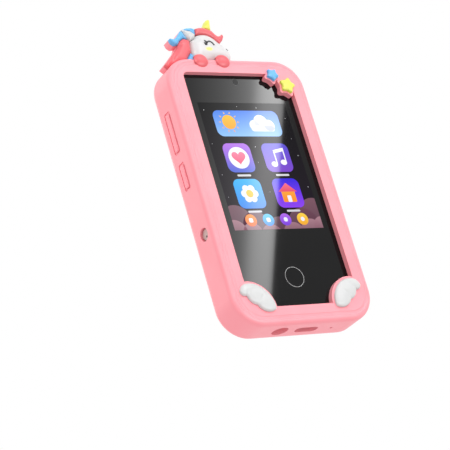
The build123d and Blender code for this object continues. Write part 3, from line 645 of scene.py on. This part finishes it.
# %% [markdown]
# ## Pictures and print on the glass
# The display shows bright flat symbols on a night sky. Each symbol is a stack of thin flat shapes
# just in front of the glass, a hundredth of a millimetre apart, that give off their own light. They
# keep the polish of the glass, so the softbox shows in them too. The symbols are plain ones: a sun
# and a cloud, a heart, a note, a flower and a house.

# %% Flat shapes
LAYER = 0.012


def circle(x, z, r, steps=40, squash=1.0):
    return [(x + r * math.cos(t), z + squash * r * math.sin(t))
            for t in (2 * math.pi * i / steps for i in range(steps))]


def ring_quads(x, z, r_out, r_in, steps=72):
    outer, inner = circle(x, z, r_out, steps), circle(x, z, r_in, steps)
    return [[outer[i], outer[(i + 1) % steps], inner[(i + 1) % steps], inner[i]] for i in range(steps)]


def rounded_box(x, z, width, height, corner, steps=8):
    points = []
    for cx, cz, start in ((width / 2, height / 2, 0), (-width / 2, height / 2, 90),
                          (-width / 2, -height / 2, 180), (width / 2, -height / 2, 270)):
        ox, oz = cx - math.copysign(corner, cx), cz - math.copysign(corner, cz)
        for i in range(steps + 1):
            t = math.radians(start + 90 * i / steps)
            points.append((x + ox + corner * math.cos(t), z + oz + corner * math.sin(t)))
    return points


HEART_STEPS = 48


def heart(x, z, size):
    """The heart curve, 32 units wide before it is scaled to size."""
    points = []
    for i in range(HEART_STEPS):
        t = 2 * math.pi * i / HEART_STEPS
        across = 16 * math.sin(t) ** 3
        up = 13 * math.cos(t) - 5 * math.cos(2 * t) - 2 * math.cos(3 * t) - math.cos(4 * t)
        points.append((x + size * across / 32, z + size * up / 32))
    return points


def lit(name, top, bottom, z_low, z_high, strength=1.0, gloss=0.16):
    """Light from the display, fading from one colour to another up the screen, under the polish."""
    material, tree = new_material(name)
    up = add(tree, "ShaderNodeSeparateXYZ", {0: object_place(tree)}).outputs[2]
    share = add(tree, "ShaderNodeMapRange", {"Value": up}, From_Min=z_low * MM, From_Max=z_high * MM)
    ramp = add(tree, "ShaderNodeValToRGB", {"Fac": share.outputs[0]})
    ramp.color_ramp.elements[0].color = linear(bottom)
    ramp.color_ramp.elements[1].color = linear(top)
    skin = add(tree, "ShaderNodeBsdfPrincipled", {"Emission Color": ramp.outputs[0]},
               Base_Color=linear("#020202"), Roughness=0.03, IOR=1.5, Specular_IOR_Level=gloss,
               Emission_Strength=strength)
    finish_material(tree, skin.outputs[0])
    return material


def flat_picture(name, layers):
    """Flat shapes on the glass. A layer is a level, a material and a list of outlines in millimetres."""
    points, faces, which, materials = [], [], [], []
    for level, material, outlines in layers:
        if material not in materials:
            materials.append(material)
        y = glass_front - level * LAYER * MM
        for ring in outlines:
            faces.append(tuple(range(len(points), len(points) + len(ring))))
            points += [(x * MM, y, z * MM) for x, z in ring]
            which.append(materials.index(material))
    mesh = bpy.data.meshes.new(name)
    mesh.from_pydata(points, [], faces)
    for material in materials:
        mesh.materials.append(material)
    mesh.polygons.foreach_set("material_index", which)
    piece = bpy.data.objects.new(name, mesh)
    scene.collection.objects.link(piece)
    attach(piece, "root")
    print(name, len(faces), "shapes")
    return piece


# %% [markdown]
# ## The night sky
# The ground of the picture is a night sky that fades to plum at the foot, with two rows of round
# hills and a few specks for stars. Discs cut off at the picture's edge make the hills, which is
# simpler than a drawn outline and as soft.

# %% Night sky with hills and stars
half_w, low_z, high_z = 21.6, 41.4, 99.0
night = lit("night sky light", "#010103", "#1c1220", low_z, high_z, gloss=0.1)
hill_far = lit("far hill light", "#7d5564", "#5c3c4b", low_z, low_z + 16)
hill_near = lit("near hill light", "#c08f9c", "#8d6472", low_z, low_z + 9)
star_light = lit("star light", "#ffffff", "#d8d8e8", low_z, high_z)


def clipped(ring):
    return [(max(-half_w, min(half_w, x)), max(low_z, min(high_z, z))) for x, z in ring]


far_hills = [clipped(circle(x, z, r)) for x, z, r in
             ((-19, 45, 7.5), (-10, 42.5, 7.0), (13, 43, 7.6), (20, 47, 8.0), (1, 40.5, 6.5))]
near_hills = [clipped(circle(x, z, r)) for x, z, r in
              ((-21, 40.5, 5.5), (-13, 40, 4.6), (-4, 38.5, 5.2), (7, 39, 5.4), (16, 40.5, 5.2),
               (22, 42, 4.6))]
sky_specks = [circle(x, z, r, 10) for x, z, r in (
    (-19.5, 95.5, 0.16), (-3.0, 97.3, 0.12), (6.5, 96.8, 0.18), (19.6, 92.0, 0.14), (-20.3, 80.0, 0.12),
    (0.2, 78.6, 0.2), (20.2, 74.5, 0.16), (-19.9, 66.0, 0.14), (0.6, 58.0, 0.12), (20.3, 60.0, 0.18),
    (-20.0, 56.0, 0.12), (19.5, 82.3, 0.12), (-0.6, 71.5, 0.12))]
flat_picture("night_sky_picture", [
    (1, night, [[(-half_w, low_z), (half_w, low_z), (half_w, high_z), (-half_w, high_z)]]),
    (2, hill_far, far_hills),
    (3, hill_near, near_hills),
    (3, star_light, sky_specks),
])

# %% [markdown]
# ## Symbols
# Children's screens have big rounded tiles with one plain symbol each. Every tile here is a rounded
# square with flat shapes stacked on it, built from circles, boxes and one heart curve, so all of them
# share the same corners and margins.

# %% Symbol tiles
tile_w, tile_r = 13.2, 2.9
left_x, right_x = -9.4, 9.4
rows = (73.6, 57.4)
purple = lit("purple tile light", "#b873ee", "#4560d8", rows[0] - 6, rows[0] + 6)
violet = lit("violet tile light", "#5a4bd6", "#7b46cf", rows[0] - 6, rows[0] + 6)
cyan = lit("cyan tile light", "#17b3fb", "#1f86ee", rows[1] - 6, rows[1] + 6)
indigo = lit("indigo tile light", "#3a22e4", "#8a3df0", rows[1] - 6, rows[1] + 6)
day_sky = lit("day sky light", "#3f7ef0", "#8fc6ff", 83, 96)
sun_light = lit("sun light", "#ffd23e", "#ff9d1e", 84, 96)
cloud_light = lit("cloud light", "#ffffff", "#dfe9ff", 84, 92)
heart_light = lit("heart light", "#ff8fb0", "#f0446e", rows[0] - 4, rows[0] + 4)
paper_light = lit("white symbol light", "#ffffff", "#f1f2ff", rows[1] - 6, rows[0] + 6)
petal_light = lit("petal light", "#ffe25a", "#f7b52c", rows[1] - 5, rows[1] + 5)
wall_light = lit("house wall light", "#ffb648", "#ff8a1c", rows[1] - 5, rows[1] + 5)
roof_light = lit("roof light", "#ff7a8c", "#e8486a", rows[1], rows[1] + 5)
label_light = lit("label light", "#e6e6ea", "#d2d2da", low_z, high_z)

wide_z, wide_w, wide_h = 89.4, 2 * 9.4 + tile_w, 12.0
rays = []
for step in range(10):
    t = math.radians(36 * step)
    c, s = math.cos(t), math.sin(t)
    rays.append([(-9 + 4.0 * c - 0.35 * s, wide_z + 0.6 + 4.0 * s + 0.35 * c),
                 (-9 + 5.1 * c, wide_z + 0.6 + 5.1 * s),
                 (-9 + 4.0 * c + 0.35 * s, wide_z + 0.6 + 4.0 * s - 0.35 * c)])
flat_picture("sun_and_cloud_tile", [
    (4, day_sky, [rounded_box(0, wide_z, wide_w, wide_h, tile_r)]),
    (5, sun_light, [circle(-9, wide_z + 0.6, 3.3), *rays]),
    (6, cloud_light, [circle(3.2, wide_z - 1.0, 2.6), circle(6.6, wide_z + 0.6, 3.4)]),
    (7, cloud_light, [circle(10.3, wide_z - 0.9, 2.7), rounded_box(6.8, wide_z - 2.3, 11.6, 2.8, 1.3)]),
])
flat_picture("heart_tile", [
    (4, purple, [rounded_box(left_x, rows[0], tile_w, tile_w, tile_r)]),
    (5, paper_light, [circle(left_x, rows[0], 4.9)]),
    (6, heart_light, [heart(left_x, rows[0] + 0.2, 6.6)]),
])
note_x, note_z = right_x, rows[0]
flat_picture("music_note_tile", [
    (4, violet, [rounded_box(right_x, rows[0], tile_w, tile_w, tile_r)]),
    (5, paper_light, [circle(note_x - 2.2, note_z - 3.0, 1.55, 30, 0.8),
                      circle(note_x + 2.6, note_z - 2.2, 1.55, 30, 0.8)]),
    (6, paper_light, [[(note_x - 1.2, note_z - 3.0), (note_x - 0.6, note_z - 3.0),
                       (note_x - 0.6, note_z + 3.4), (note_x - 1.2, note_z + 3.2)],
                      [(note_x + 3.5, note_z - 2.2), (note_x + 4.1, note_z - 2.2),
                       (note_x + 4.1, note_z + 4.4), (note_x + 3.5, note_z + 4.2)]]),
    (7, paper_light, [[(note_x - 1.2, note_z + 2.0), (note_x + 4.1, note_z + 3.0),
                       (note_x + 4.1, note_z + 4.5), (note_x - 1.2, note_z + 3.4)]]),
])
petals = [circle(x, z, 1.65, 24) for x, z in circle(left_x, rows[1], 2.5, 6)]
flat_picture("flower_tile", [
    (4, cyan, [rounded_box(left_x, rows[1], tile_w, tile_w, tile_r)]),
    (5, paper_light, petals[::2]),
    (6, paper_light, petals[1::2]),
    (7, petal_light, [circle(left_x, rows[1], 1.7)]),
])
flat_picture("house_tile", [
    (4, indigo, [rounded_box(right_x, rows[1], tile_w, tile_w, tile_r)]),
    (5, wall_light, [rounded_box(right_x, rows[1] - 1.6, 6.6, 5.0, 0.6)]),
    (6, roof_light, [[(right_x - 4.6, rows[1] + 0.6), (right_x + 4.6, rows[1] + 0.6),
                      (right_x, rows[1] + 4.6)]]),
    (6, paper_light, [rounded_box(right_x, rows[1] - 2.6, 1.9, 3.0, 0.4)]),
])
flat_picture("label_bars", [
    (4, label_light, [rounded_box(x, z - tile_w / 2 - 1.4, 6.6, 0.9, 0.42) for x in (left_x, right_x)
                      for z in rows]),
])
dock = (("#ff9a2a", "#f26a2c"), ("#35c7f5", "#1d86e8"), ("#b66cf0", "#7a3fe0"), ("#ffd84a", "#f4a72c"))
dock_layers = []
for step, (top, bottom) in enumerate(dock):
    x = -12.6 + 8.4 * step
    dock_layers.append((4, lit(f"dock light {step + 1}", top, bottom, 43, 48.5), [circle(x, 45.6, 2.7)]))
    dock_layers.append((5, paper_light, [rounded_box(x, 45.6, 1.9, 1.9, 0.5 + 0.15 * step)]))
flat_picture("dock_buttons", dock_layers)

# %% [markdown]
# ## Print and lens behind the glass
# Below the picture a thin ring is printed for the thumb to find, and above it the front camera looks
# through a clear dot in the black. Both lie under the polish, so flat shapes a hundredth of a
# millimetre proud of the glass are enough.

# %% Touch ring and front camera
# Screen printing leaves a flat film with a crisp edge: plain light grey.
ring_ink = hard("grey screen printing ink", "#b9b9b9", "#b0b0b0", 0.3)
# A lens opening sends almost nothing back, so it is darker than the black round it.
camera_eye = polished("black lens opening", "#050506", "#030304", 0.05, 0.12)
camera_edge = polished("dark lens edge", "#19191b", "#151517", 0.1, 0.2)
flat_picture("touch_ring", [(1, ring_ink, ring_quads(0, 20.4, 4.38, 4.22))])
flat_picture("front_camera_eye", [(1, camera_edge, [circle(0.1, 108.9, 1.7)]),
                                  (2, camera_eye, [circle(0.1, 108.9, 1.35)])])

# %% [markdown]
# ## Rear camera and torch
# Behind the smoked cover the camera shows as a pale ring round a dark pupil. The torch in the
# left side is a milky disc with a small dark centre. Both are turned shapes: a profile is spun
# round an axis, which gives true round lips that catch the light.

# %% Turned parts
def turned(name, profile, place, axis, material, steps=48):
    """Spins a profile of radius and height pairs, in millimetres, round an axis through a place."""
    axis = Vector(axis).normalized()
    side = axis.orthogonal().normalized()
    other = axis.cross(side)
    points, faces = [], []
    for r, h in profile:
        for i in range(steps):
            t = 2 * math.pi * i / steps
            points.append(Vector(place) * MM + axis * h * MM
                          + (side * math.cos(t) + other * math.sin(t)) * r * MM)
    for row in range(len(profile) - 1):
        for i in range(steps):
            a, b = row * steps + i, row * steps + (i + 1) % steps
            faces.append((a, b, b + steps, a + steps))
    mesh = bpy.data.meshes.new(name)
    mesh.from_pydata([tuple(p) for p in points], [], faces)
    mesh.materials.append(material)
    for face in mesh.polygons:
        face.use_smooth = True
    piece = bpy.data.objects.new(name, mesh)
    scene.collection.objects.link(piece)
    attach(piece, "root")
    print(name, len(faces), "faces")
    return piece


cover_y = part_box("camera_cover")[1].y / MM
lens_low, lens_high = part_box("camera_lens")
lens_x, lens_z = (lens_low.x + lens_high.x) / 2 / MM, (lens_low.z + lens_high.z) / 2 / MM
# Anodising keeps a metal's shine and tints it: a pale champagne ring.
beige_ring = hard("champagne anodised aluminium", "#cfc9b4", "#c2bca6", 0.3, 1.0)
turned("lens_rim", [(1.75, 0.0), (1.75, 0.18), (1.6, 0.28), (1.2, 0.26), (1.05, 0.1), (1.05, -0.1)],
       (lens_x, cover_y - 0.02, lens_z), (0, 1, 0), beige_ring)
turned("lens_pupil", [(1.05, 0.02), (0.8, 0.14), (0.4, 0.2), (0.02, 0.22)],
       (lens_x, cover_y - 0.02, lens_z), (0, 1, 0), camera_eye)
torch_low, torch_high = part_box("torch_lens")
torch_y, torch_z = (torch_low.y + torch_high.y) / 2 / MM, (torch_low.z + torch_high.z) / 2 / MM
# Light is meant to pass through it, so it looks clouded and pale.
milky = hard("milky polycarbonate", "#c9a9a4", "#bf9e99", 0.3)
nodes["torch_lens"].material_slots[0].material = milky
turned("torch_pupil", [(0.42, 0.0), (0.4, 0.08), (0.2, 0.12), (0.02, 0.13)],
       (torch_low.x / MM, torch_y - 0.3, torch_z - 0.9), (-1, 0, 0), ink_black)
